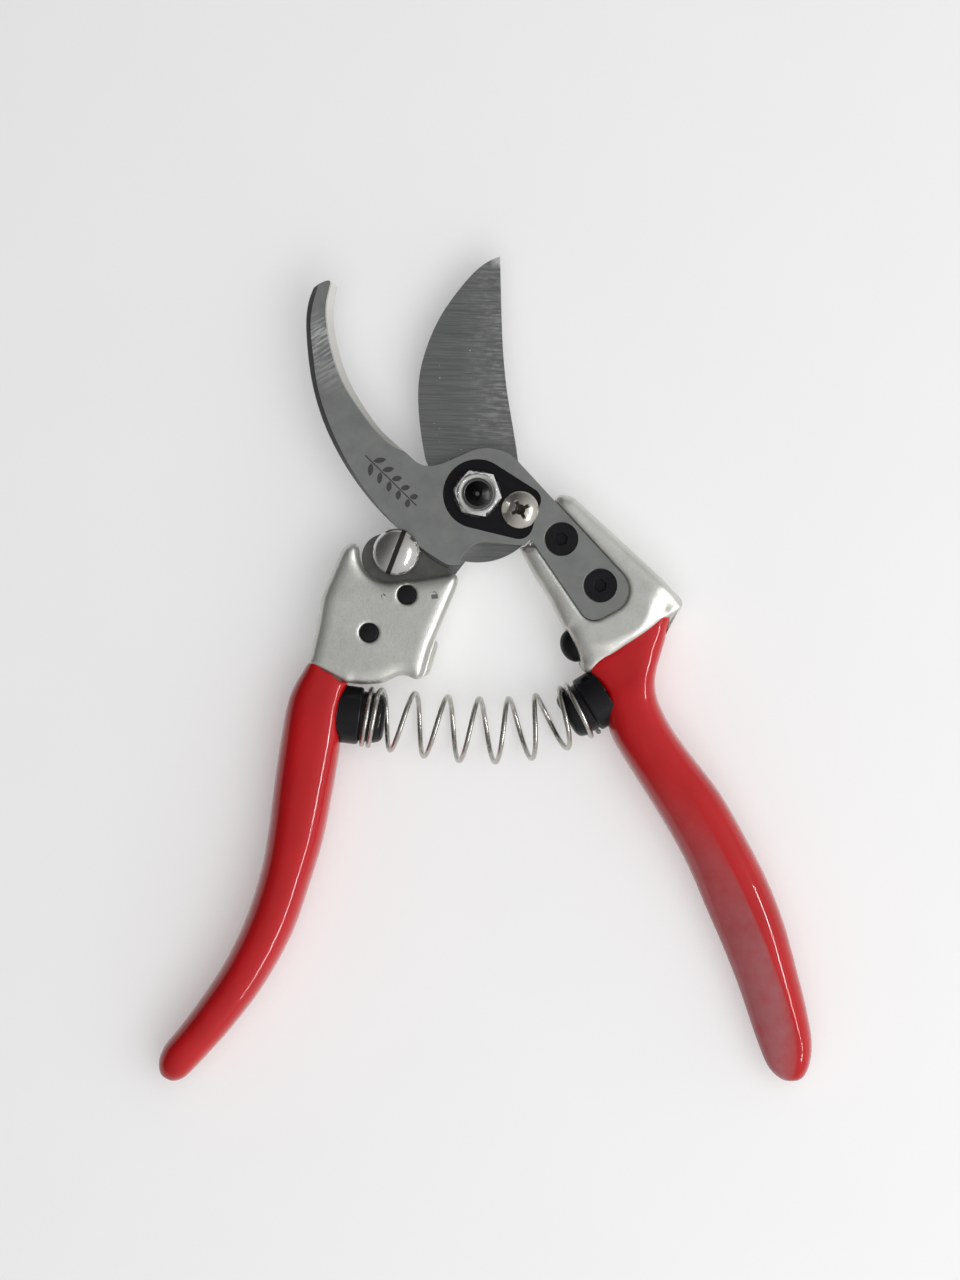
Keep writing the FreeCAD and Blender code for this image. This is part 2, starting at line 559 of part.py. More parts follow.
def bumper():
    """A rubber dome on a stem that is pressed into the casting."""
    angles = [math.pi / 2 * i / 12 for i in range(1, 12)]
    dome = [(BUMPER_HEIGHT * math.sin(a), BUMPER_R * math.cos(a)) for a in angles]
    return turned([(-5.0, 1.8), (0.0, 1.8), (0.0, BUMPER_R), *dome, (BUMPER_HEIGHT, 0.05)], *BUMPER)


# ---- both sides ----
def catmull_rom(a, b, c, d, t):
    """A number between b and c on the smooth curve through a, b, c and d."""
    return b + (c - a) * t / 2 + (2 * a - 5 * b + 4 * c - d) * t**2 / 2 + (3 * b - a - 3 * c + d) * t**3 / 2


def along(stations):
    """The stations with two more between each pair, on a smooth curve, each with its place in the list."""
    flat = [(*left, *right, height) for left, right, height in stations]
    last = len(flat) - 1
    dense = []
    for i in range(last + 1):
        four = [flat[min(max(j, 0), last)] for j in range(i - 1, i + 3)]
        for t in (0, 1 / 3, 2 / 3) if i < last else (0,):
            v = [catmull_rom(*numbers, t) for numbers in zip(*four)]
            dense.append((((v[0], v[1]), (v[2], v[3]), v[4]), i + t))
    return dense


def grip_hull(stations):
    return Part.makeLoft([section(s, i) for s, i in along(stations)], True, True)


def handle_core(stations, inset=VINYL + 0.02):
    """The tang that a grip is dipped on. It starts inside the head and stops inside the grip."""
    left, right, height = stations[0]
    across = Vector(*right, 0) - Vector(*left, 0)
    lead = Vector(-across.y, across.x, 0).normalize() * TANG_LEAD
    first = ((left[0] + lead.x, left[1] + lead.y), (right[0] + lead.x, right[1] + lead.y), height)
    kept = [(s, i) for s, i in along(stations) if i <= len(stations) - TANG_SHORT]
    return Part.makeLoft([section(s, i, inset) for s, i in [(first, 0), *kept]], True, True)


def grip(stations, seat):
    """A dipped vinyl sleeve, closed at its round end and cut out round the spring seat.

    The cut may part a crumb from the sleeve at the dip line. It is left out.
    """
    sleeve = grip_hull(stations).cut(handle_core(stations, VINYL))
    sleeve = sleeve.cut(turned([(SEAT_FLOOR - 0.05, SEAT_R + 0.08), (8.0, SEAT_R + 0.08)], *seat))
    return max(sleeve.Solids, key=lambda solid: solid.Volume)


def blade_grip():
    return grip(BLADE_GRIP, BLADE_SEAT)


def counter_grip():
    return grip(COUNTER_GRIP, COUNTER_SEAT)


def drilled_for_seat(casting, seat):
    place, direction = seat
    profile = [(SPIGOT_END - 0.05, SPIGOT_R + SEATED), (SEAT_FLOOR - 0.03, SPIGOT_R + SEATED),
               (SEAT_FLOOR - 0.03, SEAT_R + 0.08), (8.0, SEAT_R + 0.08)]
    return casting.cut(turned(profile, place, direction))


def spring_seat(place, direction):
    """A flange on the handle, a neck for the spring's end turns, a rounded nose, and a spigot in the handle."""
    return turned([(SPIGOT_END, SPIGOT_R), (SEAT_FLOOR, SPIGOT_R), (SEAT_FLOOR, SEAT_R), (3.4, SEAT_R),
                   (3.8, SEAT_R - 0.4), (3.8, NECK_R), (7.2, NECK_R), (8.2, NECK_R - 0.35),
                   (8.8, NECK_R - 0.9), (9.1, NECK_R - 1.8)], place, direction)


def spring():
    """The coil follows a gentle arc from one seat to the other."""
    ends = []
    for place, direction in (BLADE_SEAT, COUNTER_SEAT):
        forward = Vector(math.cos(direction), math.sin(direction), 0)
        ends.append((Vector(*place, MIDDLE) + forward * SPRING_START, forward))
    (start, out), (end, back) = ends
    span = (end - start).Length
    steps = int(SPRING_TURNS * 20)
    points = []
    for i in range(steps + 1):
        turn = 2 * math.pi * SPRING_TURNS * i / steps
        t = coil_share(i / steps)
        middle, forward = hermite(start, out * span, end, back * -span, t)
        side = forward.cross(Vector(0, 0, 1)).normalize()
        r = SPRING_COIL_R[0] + (SPRING_COIL_R[1] - SPRING_COIL_R[0]) * math.sin(math.pi * t)
        points.append(middle + side * (r * math.cos(turn)) + Vector(0, 0, r * math.sin(turn)))
    curve = Part.BSplineCurve()
    curve.interpolate(points)
    path = Part.Wire(curve.toShape())
    first = (points[1] - points[0]).normalize()
    profile = Part.Wire(Part.makeCircle(WIRE_R, points[0], first))
    return path.makePipeShell([profile], True, True)


def coil_share(t):
    """How far along the spring a share of the turns reaches: the first and the last turn lie close-wound."""
    closed, pitch = 1.4 / SPRING_TURNS, 0.045
    if t < closed:
        return t / closed * pitch
    if t > 1 - closed:
        return 1 - (1 - t) / closed * pitch
    return pitch + (t - closed) / (1 - 2 * closed) * (1 - 2 * pitch)


def hermite(p, m, q, n, t):
    """A point and a direction on the cubic from p, leaving along m, to q, arriving along n."""
    point = (p * (2 * t**3 - 3 * t**2 + 1) + m * (t**3 - 2 * t**2 + t)
             + q * (3 * t**2 - 2 * t**3) + n * (t**3 - t**2))
    heading = (p * (6 * t**2 - 6 * t) + m * (3 * t**2 - 4 * t + 1)
               + q * (6 * t - 6 * t**2) + n * (3 * t**2 - 2 * t))
    return point, heading.normalize()


# ---- engraved marks ----
def sprig():
    """A twig with pairs of leaves, engraved where a maker would sign the blade."""
    start, end = Vector(-24.6, 8.4, 0), Vector(-13.4, -2.6, 0)
    u = (end - start).normalize()
    n = Vector(-u.y, u.x, 0)
    stem = [start - n * 0.15, end - n * 0.15, end + n * 0.15, start + n * 0.15]
    marks = [plate(0, 1, *[[(p.x, p.y), (q.x, q.y)] for p, q in zip(stem, stem[1:] + stem[:1])])]
    for i in range(5):
        root = start + (end - start) * (0.12 + 0.18 * i)
        length = 3.2 - 0.25 * i
        for side in (1, -1):
            out = (u * 0.6 + n * side * 0.8).normalize()
            wide = Vector(-out.y, out.x, 0)
            a, b = root + out * 0.35, root + out * length
            middle = (a + b) * 0.5
            marks.append(plate(0, 1, *[[(a.x, a.y), (m.x, m.y), (b.x, b.y)][::way] for m, way in
                                       ((middle + wide * 0.6, 1), (middle - wide * 0.6, -1))]))
    return marks


NODES = {
    "counter_blade": counter_blade,
    "counter_handle": counter_handle,
    "counter_grip": counter_grip,
    "counter_blade_screws": counter_blade_screws,
    "bumper": bumper,
    "counter_spring_seat": lambda: spring_seat(*COUNTER_SEAT),
    "pivot_bolt": pivot_bolt,
    "pivot_washer": pivot_washer,
    "pivot_nut": pivot_nut,
    "nut_lock_plate": nut_lock_plate,
    "lock_plate_screw": lock_plate_screw,
    "spring": spring,
    "cutting_blade": cutting_blade,
    "blade_handle": blade_handle,
    "blade_grip": blade_grip,
    "blade_spring_seat": lambda: spring_seat(*BLADE_SEAT),
    "latch_pin": latch_pin,
    "blade_rivet": blade_rivet,
    "latch_spring_washer": latch_spring_washer,
    "latch_lever": latch_lever,
    "thumb_knob": thumb_knob,
}


def main():
    os.makedirs("parts", exist_ok=True)
    for name, make in NODES.items():
        shape = make()
        box = shape.BoundBox
        print(f"{name:22} valid {shape.isValid()} solids {len(shape.Solids)} volume {shape.Volume:9.1f}"
              f" x {box.XMin:7.1f} {box.XMax:7.1f} y {box.YMin:7.1f} {box.YMax:7.1f}"
              f" z {box.ZMin:6.2f} {box.ZMax:6.2f}")
        shape.exportStep(f"parts/{name}.step")


main()
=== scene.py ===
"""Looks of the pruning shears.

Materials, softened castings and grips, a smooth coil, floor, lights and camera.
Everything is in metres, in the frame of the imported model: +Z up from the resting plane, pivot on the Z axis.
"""
import bmesh
import bpy
import json
import math
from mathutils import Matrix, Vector
from mathutils.kdtree import KDTree


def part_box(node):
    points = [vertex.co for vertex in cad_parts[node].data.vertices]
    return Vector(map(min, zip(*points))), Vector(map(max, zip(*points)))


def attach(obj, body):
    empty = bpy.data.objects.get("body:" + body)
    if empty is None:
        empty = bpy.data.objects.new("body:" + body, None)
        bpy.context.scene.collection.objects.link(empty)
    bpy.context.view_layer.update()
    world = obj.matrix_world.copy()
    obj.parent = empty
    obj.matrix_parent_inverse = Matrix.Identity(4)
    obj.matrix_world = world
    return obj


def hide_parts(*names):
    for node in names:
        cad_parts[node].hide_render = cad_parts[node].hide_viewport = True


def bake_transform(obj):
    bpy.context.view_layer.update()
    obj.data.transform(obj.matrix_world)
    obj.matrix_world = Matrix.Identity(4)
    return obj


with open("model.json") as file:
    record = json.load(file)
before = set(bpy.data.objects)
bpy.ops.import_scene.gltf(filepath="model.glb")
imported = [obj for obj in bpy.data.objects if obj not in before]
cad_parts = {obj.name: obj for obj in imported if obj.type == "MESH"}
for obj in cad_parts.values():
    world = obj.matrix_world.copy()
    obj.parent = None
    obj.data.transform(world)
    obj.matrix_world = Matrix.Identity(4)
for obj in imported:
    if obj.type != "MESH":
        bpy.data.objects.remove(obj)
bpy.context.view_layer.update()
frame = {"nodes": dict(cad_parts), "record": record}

BODY_OF = {n: body for body, nodes in frame["record"]["behaviour"]["bodies"].items() for n in nodes}

MM = 0.001
MIDDLE = 0.0085  # the plane that the grips are centred on
BLADE_DIP = (Vector((-0.0375, -0.0372, 0)), Vector((-0.0285, -0.0416, 0)))  # where the vinyl starts
COUNTER_DIP = (Vector((0.0245, -0.0396, 0)), Vector((0.0450, -0.0252, 0)))
RECESS = (Vector((0.0265, -0.0265, 0)), Vector((0.0310, -0.0245, 0)), Vector((0.0185, -0.0090, 0)))
FACE_TOP = (0.0305, -0.0552)  # where the flat face inside the counter grip begins, on the grip's left edge
FACE_WIDTH = 0.0096
CASTING_REMESH = (0.35 * MM, 4)  # voxel size and rounds of smoothing
SLEEVE_REMESH = (0.4 * MM, 26)
MARK_PROUD = 0.03 * MM  # how far the marks stand out of the casting, and how far they go into it
MARK_DEPTH = 0.2 * MM
PADLOCK_SCALE = 0.75

CAMERA_HEIGHT = 1.2
FRAME_HEIGHT = 0.2816  # what the camera sees at the height of the blades
FRAME_CENTRE = (0.00055, -0.0321, 0.0115)
SENSOR = 0.036


# ---- shader building ----
class Look:
    """A material with helpers that add nodes to it."""

    def __init__(self, name):
        self.material = bpy.data.materials.new(name)
        self.material.use_nodes = True
        self.nodes = self.material.node_tree.nodes
        self.shader = self.nodes["Principled BSDF"]
        self.place = self.nodes.new("ShaderNodeTexCoord").outputs["Object"]

    def link(self, a, b):
        self.material.node_tree.links.new(a, b)

    def set(self, **values):
        for name, value in values.items():
            self.shader.inputs[name.replace("_", " ")].default_value = value

    def stretched(self, scale, turn=0.0):
        """The place on the object, turned about Z and then scaled, to feed a texture."""
        spin = self.nodes.new("ShaderNodeMapping")
        spin.inputs["Rotation"].default_value = (0, 0, turn)
        node = self.nodes.new("ShaderNodeMapping")
        node.inputs["Scale"].default_value = scale
        self.link(self.place, spin.inputs["Vector"])
        self.link(spin.outputs["Vector"], node.inputs["Vector"])
        return node.outputs["Vector"]

    def noise(self, scale, detail=3.0, rough=0.5, where=None):
        node = self.nodes.new("ShaderNodeTexNoise")
        node.inputs["Scale"].default_value = scale
        node.inputs["Detail"].default_value = detail
        node.inputs["Roughness"].default_value = rough
        self.link(where or self.place, node.inputs["Vector"])
        return node.outputs["Fac"]

    def ramp(self, value, low, high, start, end):
        """Maps value from low..high to start..end, held outside."""
        node = self.nodes.new("ShaderNodeMapRange")
        for name, number in (("From Min", low), ("From Max", high), ("To Min", start), ("To Max", end)):
            node.inputs[name].default_value = number
        self.link(value, node.inputs["Value"])
        return node.outputs["Result"]

    def math(self, kind, a, b):
        node = self.nodes.new("ShaderNodeMath")
        node.operation = kind
        for socket, value in zip(node.inputs, (a, b)):
            if isinstance(value, (int, float)):
                socket.default_value = value
            else:
                self.link(value, socket)
        return node.outputs[0]

    def mix(self, share, a, b):
        """A colour between a and b. Each is a colour or an output."""
        node = self.nodes.new("ShaderNodeMix")
        node.data_type = "RGBA"
        for socket, value in ((node.inputs[0], share), (node.inputs[6], a), (node.inputs[7], b)):
            if isinstance(value, tuple):
                socket.default_value = (*value, 1)
            else:
                self.link(value, socket)
        return node.outputs[2]

    def axis(self, name):
        node = self.nodes.new("ShaderNodeSeparateXYZ")
        self.link(self.place, node.inputs[0])
        return node.outputs[name]

    def facing(self, name):
        """A component of the surface's direction, in the object's own frame."""
        node = self.nodes.new("ShaderNodeSeparateXYZ")
        self.link(self.place.node.outputs["Normal"], node.inputs[0])
        return node.outputs[name]

    def near_line(self, place, degrees, half):
        """1 within half of the line through a place in plan, at that angle from the X axis, else 0."""
        turn = math.radians(degrees)
        normal = (-math.sin(turn), math.cos(turn), 0)
        node = self.nodes.new("ShaderNodeVectorMath")
        node.operation = "DOT_PRODUCT"
        node.inputs[1].default_value = normal
        self.link(self.place, node.inputs[0])
        off = self.math("SUBTRACT", node.outputs["Value"], place[0] * normal[0] + place[1] * normal[1])
        return self.ramp(self.math("ABSOLUTE", off, 0), half, half * 1.15, 1, 0)

    def bump(self, height, depth, strength=1.0):
        """Adds a bump of that depth in metres on top of the ones before it."""
        node = self.nodes.new("ShaderNodeBump")
        node.inputs["Distance"].default_value = depth
        node.inputs["Strength"].default_value = strength
        self.link(height, node.inputs["Height"])
        before = self.shader.inputs["Normal"].links
        if before:
            self.link(before[0].from_socket, node.inputs["Normal"])
        self.link(node.outputs["Normal"], self.shader.inputs["Normal"])

    def colour(self, output):
        self.link(output, self.shader.inputs["Base Color"])

    def roughness(self, output):
        self.link(output, self.shader.inputs["Roughness"])


# ---- materials ----
def cast_aluminium():
    """Satin, tumbled castings: a fine speckle with softer unevenness under it."""
    look = Look("cast_aluminium")
    look.set(Metallic=0.9)
    grain = look.noise(2600, 4, 0.6)
    blotch = look.noise(160, 4, 0.6)
    base = look.mix(look.ramp(blotch, 0.3, 0.7, 0, 1), (0.61, 0.61, 0.575), (0.7, 0.7, 0.66))
    look.colour(look.mix(look.ramp(look.noise(1900, 3, 0.7), 0.5, 0.75, 0, 0.45), base, (0.44, 0.44, 0.41)))
    look.roughness(look.ramp(grain, 0.3, 0.7, 0.36, 0.52))
    look.bump(grain, 0.00008, 0.6)
    look.bump(look.noise(500, 2), 0.00012, 0.35)
    return look.material


def counter_steel():
    """Matte ground steel, with file marks across the hook near its tip and the engraved twig darkened.

    The bevel that faces the other blade is painted bright, a painted highlight where it turns to the light,
    and the outer chamfer is painted dark, painted shade where it turns away.
    """
    look = Look("counter_steel")
    look.set(Metallic=0.95)
    grain = look.noise(3000, 3, 0.6)
    blotch = look.noise(220, 4, 0.6)
    plain = look.mix(look.ramp(blotch, 0.3, 0.7, 0, 1), (0.27, 0.28, 0.275), (0.33, 0.34, 0.33))
    y = look.axis("Y")
    filed = look.math("MULTIPLY", look.ramp(y, 0.021, 0.033, 0, 1), look.ramp(y, 0.036, 0.041, 1, 0))
    marks = look.noise(1, 2, 0.6, look.stretched((260, 2400, 260), math.radians(-32)))
    share = look.math("MULTIPLY", filed, look.ramp(marks, 0.44, 0.6, 0, 1))
    filed_colour = look.mix(share, plain, (0.6, 0.61, 0.6))
    z = look.axis("Z")
    sunk = look.math("MULTIPLY", look.ramp(z, 0.01382, 0.01384, 0, 1), look.ramp(z, 0.01387, 0.01390, 1, 0))
    across = look.facing("X")
    # painted highlight on faces turned to +X, towards the light, and painted shade on faces turned to -X
    ground = look.mix(look.ramp(across, 0.12, 0.35, 0, 1), filed_colour, (0.66, 0.65, 0.61))
    ground = look.mix(look.ramp(across, -0.35, -0.12, 1, 0), ground, (0.17, 0.175, 0.17))
    look.colour(look.mix(sunk, ground, (0.11, 0.11, 0.11)))
    look.roughness(look.ramp(grain, 0.3, 0.7, 0.36, 0.46))
    look.bump(grain, 0.00004, 0.5)
    look.bump(marks, 0.00006, 0.25)
    return look.material


def blade_steel():
    """Ground across the blade, in fine lines that grow lighter and coarser towards the spine.

    The corner of the tip is painted bright, a painted highlight.
    """
    look = Look("blade_steel")
    look.set(Metallic=0.95)
    lines = look.noise(1, 2, 0.7, look.stretched((90, 3400, 90), 0.03))
    coarse = look.noise(1, 2, 0.6, look.stretched((220, 1500, 220), 0.03))
    fleck = look.noise(700, 2)
    y = look.axis("Y")
    x = look.axis("X")
    spine = look.math("MULTIPLY", look.ramp(x, -0.004, 0.004, 0, 1), look.ramp(y, 0.009, 0.014, 0, 1))
    base = look.mix(look.ramp(lines, 0.35, 0.65, 0, 1), (0.17, 0.175, 0.175), (0.24, 0.245, 0.245))
    worn = look.math("MULTIPLY", look.ramp(coarse, 0.45, 0.6, 0.1, 0.8), look.ramp(fleck, 0.35, 0.6, 0.4, 1))
    colour = look.mix(look.math("MULTIPLY", spine, worn), base, (0.42, 0.43, 0.42))
    specks = look.ramp(look.noise(1500, 1), 0.765, 0.79, 0, 0.7)
    # painted highlight on the corner of the tip; the specks are random
    tip = look.math("MULTIPLY", look.ramp(y, 0.0497, 0.0507, 0, 1), look.ramp(x, 0.0028, 0.0036, 0, 1))
    specks_and_tip_highlight = look.math("MAXIMUM", specks, look.math("MULTIPLY", tip, look.ramp(fleck, 0.3, 0.6, 0.3, 1)))
    look.colour(look.mix(specks_and_tip_highlight, colour, (0.75, 0.75, 0.74)))
    look.roughness(look.ramp(lines, 0.3, 0.7, 0.32, 0.44))
    look.bump(lines, 0.00005, 0.6)
    return look.material


def red_vinyl(name, worn=False):
    """Glossy dipped vinyl. If worn, its lower half is painted pale on the faces turned towards the fingers, a
    painted reflection of the pale room.
    """
    look = Look(name)
    look.set(Specular_IOR_Level=0.1, Coat_Weight=0.8, Coat_Roughness=0.025)
    drift = look.noise(60, 2)
    colour = look.mix(look.ramp(drift, 0.35, 0.65, 0, 1), (0.35, 0.0015, 0.003), (0.41, 0.002, 0.005))
    if worn:
        # painted reflection: lower faces turned towards -X are painted pale pink
        painted_reflection_mask = look.math("MULTIPLY", look.ramp(look.facing("X"), -0.3, 0.04, 1, 0),
                          look.ramp(look.axis("Y"), -0.105, -0.06, 0.85, 0))
        painted_reflection_mask = look.math("MULTIPLY", painted_reflection_mask, look.ramp(look.noise(300, 4, 0.6), 0.3, 0.6, 0.7, 1))
        colour = look.mix(painted_reflection_mask, colour, (0.36, 0.13, 0.14))
    look.colour(colour)
    look.roughness(look.ramp(look.noise(500, 4, 0.6), 0.3, 0.7, 0.3, 0.42))
    look.bump(look.noise(110, 2), 0.0002, 0.12)
    look.bump(look.noise(1800, 3), 0.00002, 0.2)
    return look.material


def black(name, smooth, gloss, coat=0.0):
    """Black plastic, rubber or oxide, from dull to polished."""
    look = Look(name)
    look.set(Specular_IOR_Level=gloss, Coat_Weight=coat, Coat_Roughness=0.06)
    grain = look.noise(1500, 4, 0.6)
    look.colour(look.mix(look.noise(300), (0.004, 0.004, 0.005), (0.01, 0.01, 0.011)))
    look.roughness(look.ramp(grain, 0.3, 0.7, smooth, smooth + 0.14))
    look.bump(grain, 0.00003, 0.3)
    return look.material


def plated(name, low, high, rough, slots=()):
    """A plated or polished metal with hairline scratches.

    Its slots are painted dark, painted shade, each given as (place, degrees, half width, half length).
    """
    look = Look(name)
    look.set(Metallic=1.0)
    scratches = look.noise(1, 3, 0.7, look.stretched((300, 5200, 300), 0.7))
    colour = look.mix(look.noise(500), low, high)
    for place, degrees, half, reach in slots:
        across = look.near_line(place, degrees + 90, reach)
        slot_shade = look.math("MULTIPLY", look.near_line(place, degrees, half), across)
        # painted shade in the slots
        colour = look.mix(slot_shade, colour, (0.05, 0.045, 0.04))
    look.colour(colour)
    look.roughness(look.ramp(scratches, 0.35, 0.7, rough, rough + 0.12))
    look.bump(scratches, 0.00002, 0.3)
    return look.material


def mark_grey():
    """Dull dark print."""
    look = Look("mark_grey")
    look.set(Roughness=0.6)
    speckle = look.ramp(look.noise(2500), 0.4, 0.6, 0, 1)
    look.colour(look.mix(speckle, (0.06, 0.06, 0.06), (0.11, 0.11, 0.105)))
    return look.material


def shaded_by_height(name, below, above, height, rough):
    """Polished steel, one colour below that height and another above it; the dark one is painted shade."""
    look = Look(name)
    look.set(Metallic=1.0)
    scratches = look.noise(1, 3, 0.7, look.stretched((300, 5200, 300), 0.7))
    # painted shade on one side of the height
    look.colour(look.mix(look.ramp(look.axis("Z"), height, height + 0.3 * MM, 0, 1), below, above))
    look.roughness(look.ramp(scratches, 0.35, 0.7, rough, rough + 0.12))
    look.bump(scratches, 0.00002, 0.3)
    return look.material


# ---- softened copies ----
def smoothstep(t):
    t = min(max(t, 0.0), 1.0)
    return t * t * (3 - 2 * t)


def soft_copy(node, name, voxel, rounds, shape=None):
    """A copy of a CAD node with its edges and corners worn soft. It stands for the node.

    The shape function then moves the points, and a last light smoothing evens them out.
    """
    piece = bpy.data.objects.new(name, frame["nodes"][node].data.copy())
    bpy.context.collection.objects.link(piece)
    remesh = piece.modifiers.new("remesh", "REMESH")
    remesh.mode = "VOXEL"
    remesh.voxel_size = voxel
    smoothed(piece, rounds)
    if shape:
        shape(piece.data.vertices)
        smoothed(piece, 3)
    piece.data.shade_smooth()
    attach(piece, BODY_OF[node])
    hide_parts(node)
    return piece


def smoothed(piece, rounds):
    """Applies the piece's modifiers and that many rounds of smoothing."""
    smooth = piece.modifiers.new("smooth", "SMOOTH")
    smooth.factor = 0.5
    smooth.iterations = rounds
    seen = piece.evaluated_get(bpy.context.evaluated_depsgraph_get())
    piece.data = bpy.data.meshes.new_from_object(seen)
    piece.modifiers.clear()


def line_distance(p, a, b):
    """Distance in plan from a point to the straight piece from a to b."""
    along = b - a
    flat = Vector((p.x, p.y, 0))
    t = min(max((flat - a).dot(along) / along.length_squared, 0), 1)
    return (flat - a - along * t).length


def plan_tree(places):
    """Finds the nearest of the places in plan."""
    tree = KDTree(len(places))
    for i, place in enumerate(places):
        tree.insert((place.x, place.y, 0), i)
    tree.balance()
    return tree


def round_over(points, width, drop, wall_z, dip, skip=()):
    """Lowers the top and raises the underside near the casting's outer wall, as a large round does.

    The wall is read from the points at the height wall_z. The dip line and the holes to skip don't count.
    """
    wall = [p.co.copy() for p in points if abs(p.co.z - wall_z) < 0.4 * MM
            and line_distance(p.co, *dip) > 1.6 * MM and all((p.co.xy - c).length > 3.2 * MM for c in skip)]
    tree = plan_tree(wall)
    for p in points:
        distance = tree.find((p.co.x, p.co.y, 0))[2]
        if distance < width and abs(p.co.z - MIDDLE) > 2 * MM:
            sag = drop * (1 - math.sqrt(1 - (1 - distance / width) ** 2))
            p.co.z -= math.copysign(sag, p.co.z - MIDDLE) * min((abs(p.co.z - MIDDLE) / MM - 2) / 3, 1)


def shape_blade_casting(points):
    skip = (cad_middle("latch_pin"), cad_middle("blade_rivet"))
    round_over(points, 3.4 * MM, 1.8 * MM, 13 * MM, BLADE_DIP, skip)


def shape_counter_casting(points):
    """Round ridges beside the recess, and a valley between its end and the vinyl."""
    round_over(points, 3.6 * MM, 2.2 * MM, 5.5 * MM, COUNTER_DIP)
    for p in points:
        if p.co.z > 11 * MM:
            p.co.z -= valley(p.co)
        thin(p.co)


def valley(p):
    """How far the counter casting's top lies below its ridges."""
    away = min(line_distance(p, RECESS[0], RECESS[1]), line_distance(p, RECESS[1], RECESS[2]))
    down = smoothstep((away - 6.2 * MM) / (4.5 * MM))
    low = smoothstep((-0.0215 - p.y + 0.35 * (p.x - 0.036)) / (6 * MM))
    return 1.5 * MM * down * low


def dip_edge(points, dip, reach, swell):
    """Draws the vinyl's edge a little over the casting, uneven as a dip leaves it, and makes it proud.

    The reach is how far in mm it covers the casting at the line's two ends.
    The remesh has worn the sleeve's corners back, so the edge is first brought back to the dip line.
    """
    line = dip[1] - dip[0]
    along = line.normalized()
    lead = Vector((-along.y, along.x, 0))
    places = [(p, (p.co - dip[0]).dot(along), (p.co - dip[0]).dot(lead)) for p in points]
    ends = [s for p, s, d in places if d > -2 * MM]
    first, last = min(ends), max(ends)
    front = {}
    for p, s, d in places:
        if d > -4 * MM:
            front[round(s / MM)] = max(front.get(round(s / MM), -1), d)
    for p, s, d in places:
        if d < -9 * MM:
            continue
        at = min(max(s / MM, min(front)), max(front))
        row = min(math.floor(at), max(front) - 1)
        edge = front[row] * (row + 1 - at) + front[row + 1] * (at - row)
        share = smoothstep(1 + (d - edge) / (6 * MM))
        wave = 0.4 * math.sin(550 * s + 0.6) + 0.2 * math.sin(1350 * s)
        part = (s - first) / (last - first)
        cover = reach[0] + (reach[1] - reach[0]) * part + wave
        p.co += (lead * (cover * MM - edge) + along * (part * line.length - s)) * share
        p.co.z = MIDDLE + (p.co.z - MIDDLE) * (1 + swell * share)


def shape_blade_grip(points):
    dip_edge(points, BLADE_DIP, (0.3, 0.3), 0.06)


def shape_counter_grip(points):
    for p in points:
        if p.co.z > MIDDLE:
            p.co.z -= valley(p.co)
        thin(p.co)
    dip_edge(points, COUNTER_DIP, (1.5, 2.1), 0.05)


def thin(p):
    """The counter grip's lower half, and the core in it, thins towards the fingers to a broad flat face."""
    down = (FACE_TOP[1] - p.y) / MM
    if down > 0:
        left = FACE_TOP[0] + (0.64 * down - 0.0025 * down**2) * MM
        inner = min(max(1 - (p.x - left) / FACE_WIDTH, 0), 1)
        p.z = MIDDLE + (p.z - MIDDLE) * (1 - 0.6 * smoothstep(down / 42) * inner)


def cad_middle(node):
    """The middle of a CAD node in plan."""
    low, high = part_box(node)
    return (Vector(low) + Vector(high)).xy / 2


def mark(name, outlines, casting, body, material):
    """Marks printed on top of a casting: thin closed solids set into it, each outline in mm."""
    tops = [p.co.copy() for p in casting.data.vertices if p.co.z > MIDDLE]
    tree = plan_tree(tops)
    points, faces = [], []
    for outline in outlines:
        first, count = len(points), len(outline)
        upper = list(range(first, first + count))
        lower = [i + count for i in upper]
        places = [(x * MM, y * MM) for x, y in outline]
        heights = [tops[tree.find((*place, 0))[1]].z for place in places]
        for level in (MARK_PROUD, -MARK_DEPTH):
            points += [(*place, height + level) for place, height in zip(places, heights)]
        faces += [upper, lower[::-1]]
        faces += [(upper[i - 1], lower[i - 1], lower[i], upper[i]) for i in range(count)]
    data = bpy.data.meshes.new(name)
    data.from_pydata(points, [], faces)
    mesh = bmesh.new()
    mesh.from_mesh(data)
    bmesh.ops.recalc_face_normals(mesh, faces=mesh.faces)
    mesh.to_mesh(data)
    mesh.free()
    piece = bpy.data.objects.new(name, data)
    bpy.context.collection.objects.link(piece)
    paint(piece, material)
    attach(piece, body)


def arrow(tail, head):
    a, b = Vector(tail), Vector(head)
    u = (b - a).normalized()
    n = Vector((-u.y, u.x))
    neck = b - u * 1.8
    return [tuple(p) for p in (a + n * 0.28, neck + n * 0.28, neck + n * 0.75, b, neck - n * 0.75,
                               neck - n * 0.28, a - n * 0.28)]


def padlock(place, turn, lift):
    """A padlock 1.4 mm wide. The lift raises its shackle open."""
    body = [(-0.95, -0.75), (0.95, -0.75), (0.95, 0.55), (-0.95, 0.55)]
    angles = [math.pi * i / 10 for i in range(11)]
    outer = [(0.68 * math.cos(a), 0.75 + lift + 0.68 * math.sin(a)) for a in angles]
    inner = [(0.42 * math.cos(a), 0.75 + lift + 0.42 * math.sin(a)) for a in reversed(angles)]
    shackle = [(0.68, 0.65 + lift), *outer, (-0.68, 0.55), (-0.42, 0.55), *inner, (0.42, 0.65 + lift)]
    c, s = PADLOCK_SCALE * math.cos(turn), PADLOCK_SCALE * math.sin(turn)
    return [[(place[0] + x * c - y * s, place[1] + x * s + y * c) for x, y in part]
            for part in (body, shackle)]


